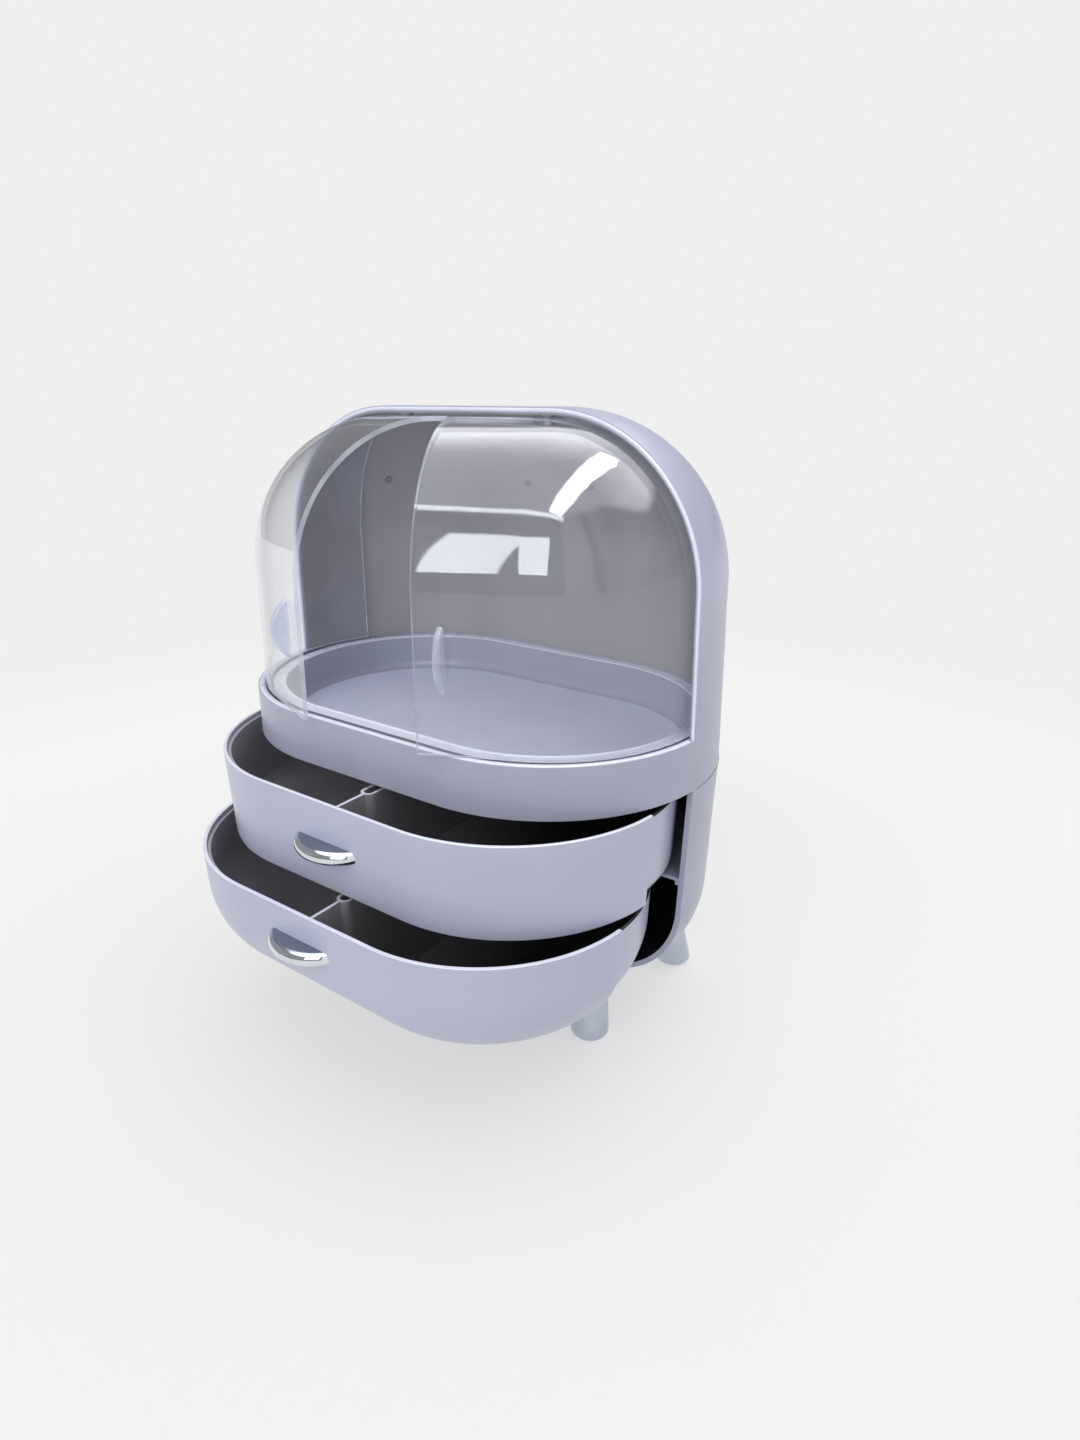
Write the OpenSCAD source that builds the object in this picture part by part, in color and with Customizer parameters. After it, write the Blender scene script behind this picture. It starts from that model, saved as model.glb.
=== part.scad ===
// Countertop makeup organizer: a domed display hood with two swinging clear doors
// over a housing with two drawers, standing on four splayed feet.
// The origin lies on the floor, in the middle of the ground that the organizer covers.

/* [Body] */
// Half length of the straight middle of the plan, whose ends are round
flat_half = 50; // [44:1:58]
// Radius of the plan's round ends at the seam
body_r = 100; // [94:1:106]
// How far the round ends' centres lie behind the origin
centre_y = 33; // [30:1:36]
// How far the hood's front rim lies behind the origin
rim_y = 23; // [21:1:26]
// Height of the top of the hood
body_h = 367.5; // [350:0.5:390]
// Height of the seam between the upper body and the lower housing
seam_z = 179; // [176:1:182]
// Height of the band's upper edge, where the doors begin
rim_z = 207; // [204:1:212]
// Height of the underside of the belly
belly_z = 48; // [44:1:50]
// Radius of the roof's flat part at the round ends
roof_flat = 9.9; // [9:0.1:16]
// Radius of the underside's flat part at the round ends
belly_flat = 41.5; // [38:0.5:46]
// Lean of the walls above the seam, in degrees
hood_draft = 1.2; // [0.4:0.2:1.6]
// Lean of the walls below the seam, in degrees
belly_draft = 1.9; // [1:0.1:2.4]

/* [Upper body] */
// Wall of the hood
hood_wall = 3; // [2.6:0.1:3.2]
// Wall of the band at its lip
band_wall = 4.5; // [4:0.1:5]
// Floor between the tray and the drawers
deck_t = 2; // [1.6:0.1:2.4]
// Thickness of the dark inner liner
liner_t = 0.8; // [0.6:0.1:1]
// Space between the liner and the hood's wall
liner_gap = 0.1; // [0.05:0.05:0.15]
// How far the liner's front edge lies behind the hood's rim
liner_setback = 1; // [0.6:0.1:3]

/* [Tray] */
// How far the tray sits behind the body's middle
tray_shift = 2; // [1:0.1:2]
// Space between the tray's rim and the band's inner face at the round ends
tray_gap = 2.5; // [2.3:0.1:4]
// Width of the tray's flat rim
tray_rim_w = 8; // [6:0.5:10]
// Depth from the band's edge down to the tray's rim
tray_drop = 1; // [0.5:0.1:2]
// Sheet thickness of the tray
tray_t = 2; // [1.5:0.1:2.4]
// Radius between the tray's floor and its wall
tray_fillet = 6; // [3:0.5:10]

/* [Doors] */
// Sheet thickness of the doors
door_t = 2.5; // [2:0.1:3]
// Space between a door and the liner
door_gap = 1; // [0.8:0.1:1.4]
// Space between a door's lower edge and the band
door_lift = 1; // [0.8:0.1:2]
// Angle that a closed door reaches behind its pivot, in degrees
door_lap = 3; // [1:0.5:6]
// Space between the free edge of a closed door and the middle plane
door_meet = 0.3; // [0.2:0.1:0.6]
// How far the right door stands open, in degrees
right_open = 25.4; // [0:0.2:80]
// How far the left door stands open, in degrees
left_open = 21; // [0:0.2:80]
// Radius of the door pivots
pivot_r = 2.4; // [2:0.1:2.8]
// Radial play of a door on its pivot
pivot_play = 0.06; // [0.03:0.01:0.09]
// Radius of the washer between a door and the roof
washer_r = 4.2; // [3.6:0.1:5]
// Radius of the head under a door's eye
pin_head_r = 4.4; // [4:0.1:6]
// Height of the head under a door's eye
pin_head_h = 1.5; // [1:0.1:2]
// Space between a door's eye and the head and washer
pin_slack = 0.1; // [0.05:0.05:0.2]
// Roof left over the pivot pins
pin_cover = 1; // [0.8:0.1:1.4]
// Radius of a door's eye round its pivot
eye_r = 8; // [6:0.5:8.5]

/* [Door handles] */
// Height of a door handle
grip_h = 33; // [26:1:40]
// How far a door handle stands out
grip_out = 9.5; // [7:0.5:14]
// Thickness of a door handle
grip_t = 4; // [3:0.5:6]
// Distance from a door's free edge to the middle of its handle
grip_edge = 14; // [8:0.5:18]
// Height of the middle of the door handles
grip_z = 256; // [245:1:266]

/* [Housing] */
// Wall of the lower housing
base_wall = 3; // [2.5:0.1:3.2]
// Thickness of the housing's top flange
flange_t = 2.4; // [2:0.1:2.6]
// Width of the housing's top flange, measured inwards from the wall
flange_w = 11; // [9:0.5:14]
// Height of the shelf's upper face
shelf_z = 124.4; // [123.8:0.1:124.8]
// Thickness of the shelf
shelf_t = 2; // [1.6:0.1:2.2]
// Play of the shelf in the housing
shelf_gap = 0.3; // [0.2:0.1:0.5]
// Depth and width of the ledge that carries the shelf
ledge_w = 2.2; // [1.8:0.1:3]
// Height of the sliding rails
rail_h = 1.6; // [1.2:0.1:1.8]
// Width of the sliding rails
rail_w = 6; // [4:1:10]
// Play over the sliding rails
rail_play = 0.3; // [0.2:0.05:0.5]
// Distance from the middle to the shelf's rails
shelf_rail_x = 70; // [60:1:80]
// Distance from the middle to the floor's rails
floor_rail_x = 30; // [20:1:40]
// How far the rails begin behind the rim plane
rail_setback = 1; // [0.6:0.1:3]
// Distance from the shelf's rear edge to the ends of its rails
shelf_rail_stop = 30; // [28:1:40]
// Distance from the end of the floor's flat part to the ends of its rails
floor_rail_stop = 4; // [4:0.5:10]
// How far the bottom box's skids reach behind the body's middle
skid_reach = 53.5; // [52:0.5:54]

/* [Drawers] */
// Space between a drawer's front and the housing's wall
front_gap = 1.4; // [1.2:0.1:1.8]
// Thickness of the drawer fronts
front_t = 2.2; // [1.8:0.1:3]
// Wall of the drawer boxes
box_wall = 1.8; // [1.5:0.1:2.6]
// Height of the top drawer's front edge
top_front_z = 178; // [177.6:0.1:178.4]
// Height of the top front's lower edge over the shelf
front_over_shelf = 1.1; // [0.6:0.1:1.6]
// Space between the two drawer fronts
fronts_gap = 1.6; // [1:0.1:2.4]
// How far a box's edge lies below its front's edge
box_drop = 3; // [3:0.5:6]
// Radius of the top box's lower edge
box_corner = 10; // [6:1:20]
// How far the top drawer is pulled out
top_pulled = 34.4; // [0:0.2:60]
// How far the bottom drawer is pulled out
bottom_pulled = 59; // [0:0.5:62]
// Space between a closed front's end and the housing's rim plane
end_gap = 0.4; // [0.2:0.1:0.8]

/* [Dividers] */
// Distance of the dividers from the middle
divider_x = 4; // [-10:1:12]
// Length of a divider's single web
web_l = 20; // [12:1:30]
// Outer width of a divider's hollow part
divider_w = 9; // [7:0.5:14]
// Wall of the dividers
divider_t = 1.8; // [1.4:0.1:2.2]
// Play of a divider in its box
divider_gap = 0.2; // [0.1:0.05:0.3]

/* [Drawer pulls] */
// Width of a pull
pull_w = 46; // [42:1:56]
// How far a pull stands out
pull_out = 12; // [10:0.5:16]
// Thickness of a pull
pull_t = 8; // [6:0.5:10]
// Distance of the pulls from the middle
pull_x = -3; // [-6:1:6]
// Height of the top drawer's pull
top_pull_z = 151; // [146:1:156]
// Height of the bottom drawer's pull
bottom_pull_z = 103.5; // [102:0.5:108]
// Half the distance between a pull's screws
pull_screw_x = 13; // [9:1:15]

/* [Feet] */
// Radius of a foot on the floor
foot_r = 12; // [10:0.5:13]
// Radius of a foot where it meets the body
foot_top_r = 7.5; // [6:0.5:8.5]
// Rounding of a foot's lower edge
foot_round = 4; // [2:0.5:5]
// Distance of the front feet from the middle, on the floor
front_foot_x = 93; // [88:1:96]
// Distance of the rear feet from the middle, on the floor
rear_foot_x = 101; // [96:1:104]
// How far the front feet lie before the rim plane, on the floor
front_foot_y = 5; // [2:1:7]
// How far the rear feet lie behind the rim plane, on the floor
rear_foot_y = 93; // [88:1:95]
// How far the front feet run inwards as they rise
front_foot_in = 7; // [4:1:9]
// How far the front feet run back as they rise
front_foot_back = 14; // [12:1:16]
// How far the rear feet run inwards as they rise
rear_foot_in = 5; // [3:1:7]
// How far the rear feet run forwards as they rise
rear_foot_fore = 14; // [12:1:16]
// Height of the flat end of a foot's cone, inside the housing's wall
foot_top_z = 75; // [74:0.5:78]
// Radius of the stud on a foot
stud_r = 3; // [2.5:0.1:3.5]
// How far a foot's stud reaches down into the foot
stud_root = 10; // [6:1:16]
// Play of the stud in the housing
stud_gap = 0.1; // [0.05:0.05:0.2]

/* [Screws] */
// Radius of the body screws
screw_r = 1.5; // [1.3:0.1:1.7]
// Radius of the screw heads
screw_head_r = 3; // [2.8:0.1:3.2]
// Height of the screw heads
screw_head_h = 1.6; // [1.4:0.1:1.8]
// Radial play of the screws
screw_gap = 0.1; // [0.05:0.05:0.15]
// Gap between a pull screw's head and the drawer's wall
screw_seat = 0.1; // [0.05:0.05:0.3]
// Height of the screw bosses over the deck
boss_h = 10; // [8:1:14]
// Material left over the screws in their bosses
boss_cap = 1; // [0.8:0.1:1.4]
// Radius of the screw bosses
boss_r = 3.4; // [3:0.1:3.6]
// How far the screws stand in from the band's inner face
boss_in = 2.4; // [2:0.1:2.6]
// Radius of the liner's buttons
button_r = 2.5; // [2:0.1:3]
// Height of the liner's buttons
button_z = 319; // [312:1:324]
// Play of the buttons and washers in the liner
button_gap = 0.2; // [0.1:0.1:0.4]
// Turn of the side buttons behind the body's ends, in degrees
button_turn = 37; // [25:1:50]
// Distance of the rear buttons from the middle
button_x = 24; // [16:1:36]

/* [Hidden] */
$fn = 96;
eps = 0.01;
far = 2 * body_h;
// Overlap that joins the parts of one outline
merge = 2;
// How far an outline's arcs stand proud of the straight lines that they turn into
arc_proud = 0.005;

shell_colour = [0.72, 0.73, 0.82];
liner_colour = [0.42, 0.41, 0.44];
clear_colour = [0.85, 0.87, 0.95, 0.35];
chrome_colour = [0.75, 0.77, 0.8];
steel_colour = [0.6, 0.6, 0.63];

// Radius of the arc that turns a leaning wall of some height and overhang into a flat
function arc_r(overhang, height, draft) =
    (overhang * cos(draft) - height * sin(draft)) / (1 - sin(draft));

// Radii and centres of the arcs that turn the walls into the roof and into the belly
roof_r = arc_r(body_r - roof_flat, body_h - seam_z, hood_draft);
belly_r = arc_r(body_r - belly_flat, seam_z - belly_z, belly_draft);
roof_z = body_h - roof_r;
belly_arc_z = belly_z + belly_r;

// Radius of the outer wall at a height, above and below the seam
function upper_r(z) = body_r - (z - seam_z) * tan(hood_draft);
function lower_r(z) = body_r - (seam_z - z) * tan(belly_draft);

// Radius below the seam at a height, on the wall or on its arc, drawn in by an inset
function lower_in_r(z, inset) =
    z > belly_arc_z - (belly_r - inset) * sin(belly_draft)
        ? lower_r(z) - inset / cos(belly_draft)
        : belly_flat + sqrt(pow(belly_r - inset, 2) - pow(belly_arc_z - z, 2));

liner_in = hood_wall + liner_gap + liner_t;
door_in = liner_in + door_gap;
door_top = body_h - door_in - arc_proud;
roof_under = body_h - hood_wall - arc_proud;
door_z = rim_z + door_lift;
band_in_r = upper_r(rim_z) - band_wall;
deck_z = seam_z + deck_t;
tray_y = centre_y + tray_shift;
tray_r = band_in_r - tray_gap;
tray_top = rim_z - tray_drop;
tray_wall_r = tray_r - tray_rim_w;

front_in = base_wall + front_gap;
box_in = front_in + front_t;
top_front_low = shelf_z + front_over_shelf;
bottom_front_z = top_front_low - fronts_gap;
top_box_z = shelf_z + rail_h + rail_play;
top_box_top = top_front_z - box_drop;
bottom_box_top = bottom_front_z - box_drop;
floor_z = belly_z + base_wall + arc_proud;
bottom_box_z = floor_z + rail_h + rail_play;
shelf_r = lower_r(shelf_z) - base_wall;
flange_z = seam_z - flange_t;
screw_ring_r = band_in_r - boss_in;

// ---- outlines: half sections with the radius along x and the height along y ----

// Quarter disc that turns a wall into the flat and stands a hair proud of both, so they cross cleanly
module corner_arc(r) {
    intersection() {
        circle(r = r);
        translate([-merge, -merge]) square(2 * r);
    }
}

// Drafted wall, roof arc and flat roof above a height, drawn in by an inset
module upper_profile(inset, from_z) {
    wall_r = roof_r - inset - arc_proud;
    polygon([
        [0, from_z],
        [upper_r(from_z) - (inset + arc_proud) / cos(hood_draft), from_z],
        [roof_flat + wall_r * cos(hood_draft), roof_z + wall_r * sin(hood_draft)],
        [roof_flat, roof_z],
        [roof_flat, roof_z + wall_r],
        [0, roof_z + wall_r]
    ]);
    translate([roof_flat, roof_z]) corner_arc(roof_r - inset);
}

// Drafted wall, belly arc and flat underside below a height, drawn in by an inset
module lower_profile(inset, to_z = seam_z) {
    wall_r = belly_r - inset - arc_proud;
    polygon([
        [0, to_z],
        [lower_r(to_z) - (inset + arc_proud) / cos(belly_draft), to_z],
        [belly_flat + wall_r * cos(belly_draft), belly_arc_z - wall_r * sin(belly_draft)],
        [belly_flat, belly_arc_z],
        [belly_flat, belly_arc_z - wall_r],
        [0, belly_arc_z - wall_r]
    ]);
    translate([belly_flat, belly_arc_z]) mirror([0, 1]) corner_arc(belly_r - inset);
}

// Band of a section between two heights
module between(low, high) {
    intersection() {
        children();
        translate([0, low]) square([far, high - low]);
    }
}

// ---- solids with the plan's round ends and straight middle ----

module ends(half = flat_half, y = centre_y) {
    for (side = [-1, 1])
        translate([side * half, y, 0]) rotate([0, 0, -90 * side]) rotate_extrude(angle = 180) children();
}

module middle(half = flat_half, y = centre_y) {
    translate([-half, y, 0]) rotate([90, 0, 90]) linear_extrude(2 * half) {
        children();
        mirror([1, 0]) children();
    }
}

module oval(y = centre_y) {
    ends(y = y) children();
    middle(y = y) children();
}

// Everything before or behind a plane across the body
module before(y) {
    translate([-far / 2, y - far, -far]) cube([far, far, 2 * far]);
}

module behind(y) {
    translate([-far / 2, y, -far]) cube([far, far, 2 * far]);
}

// Places on the ring of body screws: two at each end and two across the back
module at_body_screws() {
    for (side = [-1, 1]) {
        for (turn = [18, 62])
            translate([side * flat_half, centre_y, 0]) rotate([0, 0, 90 - side * (90 - turn)])
                translate([screw_ring_r, 0, 0]) children();
        translate([side * flat_half / 2, centre_y + screw_ring_r, 0]) children();
    }
}

// Places on the hood's inner roof arc, with x pointing out through the wall
module at_buttons() {
    lean = asin((button_z - roof_z) / (roof_r - hood_wall));
    for (side = [-1, 1]) {
        translate([side * flat_half, centre_y, roof_z]) rotate([0, 0, 90 - side * (90 - button_turn)])
            translate([roof_flat, 0, 0]) rotate([0, -lean, 0]) children();
        translate([side * button_x, centre_y, roof_z]) rotate([0, 0, 90])
            translate([roof_flat, 0, 0]) rotate([0, -lean, 0]) children();
    }
}

// ---- upper body ----

module upper_body() {
    color(shell_colour) difference() {
        union() {
            difference() {
                oval() upper_profile(0, seam_z);
                oval() upper_profile(hood_wall, rim_z);
                translate([-far / 2, rim_y - far, rim_z]) cube([far, far, far]);
                oval() translate([0, deck_z]) square([band_in_r, rim_z - deck_z + eps]);
            }
            at_body_screws() translate([0, 0, deck_z - eps]) cylinder(r = boss_r, h = boss_h);
        }
        at_body_screws() translate([0, 0, seam_z - eps])
            cylinder(r = screw_r + screw_gap, h = deck_t + boss_h - boss_cap);
        for (side = [-1, 1])
            translate([side * flat_half, centre_y, roof_under - eps])
                cylinder(r = pivot_r + pivot_play, h = body_h - pin_cover - roof_under);
    }
}

module hood_liner() {
    color(liner_colour) difference() {
        oval() difference() {
            upper_profile(hood_wall + liner_gap, rim_z);
            upper_profile(liner_in, rim_z - 1);
        }
        before(rim_y + liner_setback);
        at_buttons() translate([roof_r - 2 * liner_in, 0, 0]) rotate([0, 90, 0])
            cylinder(r = button_r + button_gap, h = 2 * liner_in);
        for (side = [-1, 1])
            translate([side * flat_half, centre_y, body_h - 2 * liner_in])
                cylinder(r = washer_r + button_gap, h = 2 * liner_in);
    }
}

module liner_buttons() {
    proud = door_gap / 3;
    color(liner_colour) at_buttons() translate([roof_r - liner_in - proud, 0, 0]) rotate([0, 90, 0])
        cylinder(r = button_r, h = liner_t + proud);
}

module display_tray() {
    inner_r = tray_wall_r;
    base_z = deck_z + tray_t;
    color(shell_colour) oval(tray_y) difference() {
        union() {
            translate([0, deck_z]) square([inner_r + tray_t, tray_top - deck_z]);
            translate([0, tray_top - tray_t]) square([tray_r, tray_t]);
        }
        translate([0, base_z + tray_fillet]) square([inner_r, far]);
        translate([0, base_z]) square([inner_r - tray_fillet, far]);
        translate([inner_r - tray_fillet, base_z + tray_fillet]) circle(r = tray_fillet);
    }
}

module body_screws() {
    color(steel_colour) at_body_screws() {
        translate([0, 0, flange_z]) cylinder(r1 = screw_head_r, r2 = screw_r, h = screw_head_h);
        translate([0, 0, flange_z]) cylinder(r = screw_r, h = flange_t + deck_t + boss_h - 2 * boss_cap);
    }
}

// ---- doors, drawn closed about a pivot at the origin with the free edge towards -x ----

module closed_door() {
    difference() {
        union() {
            rotate([0, 0, -90]) rotate_extrude(angle = 90 + door_lap) door_section();
            rotate([90, 0, -90]) linear_extrude(flat_half - door_meet) door_section();
            translate([0, 0, door_top - door_t]) cylinder(r = eye_r, h = door_t);
        }
        translate([0, 0, door_top - 2 * door_t])
            cylinder(r = pivot_r + pivot_play, h = 3 * door_t);
    }
}

module door_section() {
    difference() {
        upper_profile(door_in, door_z);
        upper_profile(door_in + door_t, door_z - 1);
    }
}

// Upright half-moon of clear plastic that stands on the door's outer face
module closed_door_handle() {
    half_h = grip_h / 2;
    disc_r = (half_h * half_h + grip_out * grip_out) / (2 * grip_out);
    face_r = upper_r(grip_z) - door_in / cos(hood_draft);
    round_r = grip_t / 2;
    difference() {
        translate([grip_edge - flat_half, disc_r - grip_out - face_r, grip_z]) rotate([0, 90, 0])
            rotate_extrude() {
                translate([0, -round_r]) square([disc_r - round_r, grip_t]);
                translate([disc_r - round_r, 0]) intersection() {
                    circle(r = round_r);
                    translate([0, -round_r]) square([round_r, grip_t]);
                }
            }
        middle(y = 0) upper_profile(door_in, door_z - 1);
    }
}

// Carries a closed door or handle to its side of the body and opens it
module hung(side, opened) {
    translate([side * flat_half, centre_y, 0]) rotate([0, 0, side * opened])
        mirror([side > 0 ? 0 : 1, 0, 0]) children();
}

module left_door() {
    color(clear_colour) hung(-1, left_open) closed_door();
}

module right_door() {
    color(clear_colour) hung(1, right_open) closed_door();
}

module left_door_handle() {
    color(clear_colour) hung(-1, left_open) closed_door_handle();
}

module right_door_handle() {
    color(clear_colour) hung(1, right_open) closed_door_handle();
}

// Headed pin that hangs a door under the roof, with a washer over the door
module pivot_pin(side) {
    head_z = door_top - door_t - pin_slack - pin_head_h;
    color(steel_colour) translate([side * flat_half, centre_y, 0]) {
        translate([0, 0, head_z]) cylinder(r = pin_head_r, h = pin_head_h);
        translate([0, 0, head_z]) cylinder(r = pivot_r, h = body_h - pin_cover - pin_slack - head_z);
        translate([0, 0, door_top + pin_slack])
            cylinder(r = washer_r, h = roof_under - door_top - pin_slack);
    }
}

module left_pivot_pin() {
    pivot_pin(-1);
}

module right_pivot_pin() {
    pivot_pin(1);
}

// ---- lower housing ----

module lower_housing() {
    color(shell_colour) difference() {
        union() {
            difference() {
                oval() lower_profile(0);
                oval() between(0, flange_z) lower_profile(base_wall);
                oval() translate([0, flange_z - eps]) square([lower_r(seam_z) - base_wall - flange_w, far]);
            }
            oval() difference() {
                between(shelf_z - shelf_t - ledge_w, shelf_z - shelf_t) lower_profile(base_wall / 2);
                square([shelf_r - ledge_w, far]);
            }
        }
        before(rim_y);
        at_body_screws() {
            translate([0, 0, flange_z - 1]) cylinder(r = screw_r + screw_gap, h = far);
            translate([0, 0, flange_z - eps])
                cylinder(
                    r1 = screw_head_r + screw_gap,
                    r2 = screw_r + screw_gap,
                    h = screw_head_h + screw_gap
                );
        }
        at_feet() cylinder(r = stud_r + stud_gap, h = seam_z / 2);
    }
}

module drawer_shelf() {
    color(shell_colour) difference() {
        oval() translate([0, shelf_z - shelf_t]) square([shelf_r - shelf_gap, shelf_t]);
        before(rim_y + end_gap);
    }
}

module rail_pair(x, back_y, z) {
    front_y = rim_y + rail_setback;
    for (side = [-1, 1])
        translate([side * x - rail_w / 2, front_y, z]) cube([rail_w, back_y - front_y, rail_h]);
}

module shelf_rails() {
    color(steel_colour)
        rail_pair(shelf_rail_x, centre_y + shelf_r - shelf_rail_stop, shelf_z);
}

module floor_rails() {
    color(steel_colour)
        rail_pair(floor_rail_x, centre_y + belly_flat - floor_rail_stop, floor_z);
}

// ---- drawers, drawn closed ----

module drawer_front(low, high) {
    difference() {
        oval() between(low, high) difference() {
            lower_profile(front_in);
            lower_profile(box_in, seam_z + 1);
        }
        behind(rim_y - end_gap);
        children();
    }
}

// Tub whose lower edge is rounded with its own radius
module tub_profile(inset, low) {
    corner = box_corner - inset;
    intersection() {
        union() {
            translate([0, low + corner]) square([far, far]);
            translate([0, low]) square([lower_r(low + box_corner) - box_in - box_corner, far]);
            translate([lower_r(low + box_corner) - box_in - box_corner, low + corner]) circle(r = corner);
        }
        lower_profile(box_in + inset);
    }
}

module top_box_profile(inset) {
    tub_profile(inset, top_box_z + inset);
}

module pull_holes(z) {
    for (side = [-1, 1])
        translate([pull_x + side * pull_screw_x, centre_y, z]) rotate([90, 0, 0])
            cylinder(r = screw_r + screw_gap, h = far / 2);
}

module top_drawer_front() {
    color(shell_colour) translate([0, -top_pulled, 0])
        drawer_front(top_front_low, top_front_z) pull_holes(top_pull_z);
}

module top_drawer_box() {
    color(shell_colour) translate([0, -top_pulled, 0]) difference() {
        oval() between(0, top_box_top) difference() {
            top_box_profile(0);
            top_box_profile(box_wall);
        }
        pull_holes(top_pull_z);
    }
}

module bottom_drawer_front() {
    color(shell_colour) translate([0, -bottom_pulled, 0])
        drawer_front(0, bottom_front_z) pull_holes(bottom_pull_z);
}

// Two skids under the belly that carry the box on the floor's rails
module skids() {
    for (side = [-1, 1])
        translate([side * floor_rail_x - rail_w / 2, rim_y, bottom_box_z])
            cube([rail_w, centre_y + skid_reach - rim_y, 2 * box_wall]);
}

module bottom_drawer_box() {
    color(shell_colour) translate([0, -bottom_pulled, 0]) difference() {
        union() {
            oval() between(0, bottom_box_top) lower_profile(box_in);
            skids();
        }
        oval() lower_profile(box_in + box_wall, seam_z);
        pull_holes(bottom_pull_z);
    }
}

// Web from the front wall that widens into a hollow rib, cut to the box that holds it
module divider(high) {
    rib_r = divider_w / 2;
    front_y = centre_y - lower_r(high) + box_in + box_wall;
    rib_y = front_y + web_l + rib_r;
    intersection() {
        oval() between(0, high) children();
        difference() {
            translate([divider_x, 0, 0]) {
                translate([-divider_t / 2, rib_y - far, 0])
                    cube([divider_t, far - rib_r + divider_t / 2, far]);
                translate([0, rib_y, 0]) cylinder(r = rib_r, h = far);
                translate([-rib_r, rib_y, 0]) cube([divider_w, far, far]);
            }
            translate([divider_x, 0, belly_z]) {
                translate([0, rib_y, 0]) cylinder(r = rib_r - divider_t, h = far);
                translate([divider_t - rib_r, rib_y, 0])
                    cube([divider_w - 2 * divider_t, far, far]);
            }
        }
    }
}

module top_drawer_divider() {
    color(shell_colour) translate([0, -top_pulled, 0])
        divider(top_box_top) top_box_profile(box_wall + divider_gap);
}

module bottom_drawer_divider() {
    color(shell_colour) translate([0, -bottom_pulled, 0])
        divider(bottom_box_top) lower_profile(box_in + box_wall + divider_gap);
}

// Half-moon ledge with a round lip, cut to the drawer front that it is screwed to
module pull(z) {
    half_w = pull_w / 2;
    disc_r = (half_w * half_w + pull_out * pull_out) / (2 * pull_out);
    face_y = centre_y - lower_in_r(z, front_in);
    lip_r = pull_t / 2;
    difference() {
        translate([pull_x, face_y + disc_r - pull_out, z]) rotate_extrude() {
            translate([0, -lip_r]) square([disc_r - lip_r, pull_t]);
            translate([disc_r - lip_r, 0]) intersection() {
                circle(r = lip_r);
                translate([0, -lip_r]) square([lip_r, pull_t]);
            }
        }
        middle() lower_profile(front_in);
        for (side = [-1, 1])
            translate([pull_x + side * pull_screw_x, face_y + 1, z]) rotate([90, 0, 0])
                cylinder(r = screw_r + screw_gap, h = pull_out / 2 + 1);
    }
}

module pull_screws(z) {
    seat_y = centre_y - lower_in_r(z - screw_head_r, box_in + box_wall) + screw_seat;
    grip = box_wall + front_t + pull_out / 2;
    for (side = [-1, 1])
        translate([pull_x + side * pull_screw_x, seat_y, z]) {
            rotate([-90, 0, 0]) cylinder(r = screw_head_r, h = screw_head_h);
            translate([0, eps, 0]) rotate([90, 0, 0]) cylinder(r = screw_r, h = grip);
        }
}

module top_drawer_pull() {
    color(chrome_colour) translate([0, -top_pulled, 0]) pull(top_pull_z);
}

module top_pull_screws() {
    color(steel_colour) translate([0, -top_pulled, 0]) pull_screws(top_pull_z);
}

module bottom_drawer_pull() {
    color(chrome_colour) translate([0, -bottom_pulled, 0]) pull(bottom_pull_z);
}

module bottom_pull_screws() {
    color(steel_colour) translate([0, -bottom_pulled, 0]) pull_screws(bottom_pull_z);
}

// ---- feet ----

// Centre of a foot on the floor and where it meets the belly
function foot_low(side, rear) =
    [side * (rear ? rear_foot_x : front_foot_x), rim_y + (rear ? rear_foot_y : -front_foot_y)];
function foot_high(side, rear) = foot_low(side, rear)
    + [-side * (rear ? rear_foot_in : front_foot_in), rear ? -rear_foot_fore : front_foot_back];

module at_feet() {
    for (side = [-1, 1])
        for (rear = [false, true])
            translate(foot_high(side, rear)) children();
}

// Leaning cone that widens to the floor, with a stud into the housing
module foot(side, rear) {
    end_h = 1;
    color(chrome_colour) {
        difference() {
            hull() {
                translate(foot_low(side, rear)) rotate_extrude($fn = 72) {
                    square([foot_r - foot_round, foot_round]);
                    translate([foot_r - foot_round, foot_round]) circle(r = foot_round, $fn = 32);
                }
                translate(concat(foot_high(side, rear), foot_top_z - end_h))
                    cylinder(r = foot_top_r, h = end_h, $fn = 72);
            }
            oval() lower_profile(0);
        }
        difference() {
            translate(concat(foot_high(side, rear), belly_z - stud_root)) cylinder(r = stud_r, h = belly_r);
            oval() lower_profile(base_wall - stud_gap);
        }
    }
}

module front_left_foot() {
    foot(-1, false);
}

module front_right_foot() {
    foot(1, false);
}

module rear_left_foot() {
    foot(-1, true);
}

module rear_right_foot() {
    foot(1, true);
}

upper_body();
hood_liner();
liner_buttons();
display_tray();
body_screws();
left_door();
left_door_handle();
left_pivot_pin();
right_door();
right_door_handle();
right_pivot_pin();
lower_housing();
drawer_shelf();
shelf_rails();
floor_rails();
top_drawer_front();
top_drawer_box();
top_drawer_divider();
top_drawer_pull();
top_pull_screws();
bottom_drawer_front();
bottom_drawer_box();
bottom_drawer_divider();
bottom_drawer_pull();
bottom_pull_screws();
front_left_foot();
front_right_foot();
rear_left_foot();
rear_right_foot();
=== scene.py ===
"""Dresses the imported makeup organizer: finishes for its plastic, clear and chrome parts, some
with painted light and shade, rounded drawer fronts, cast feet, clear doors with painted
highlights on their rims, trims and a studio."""

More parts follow.
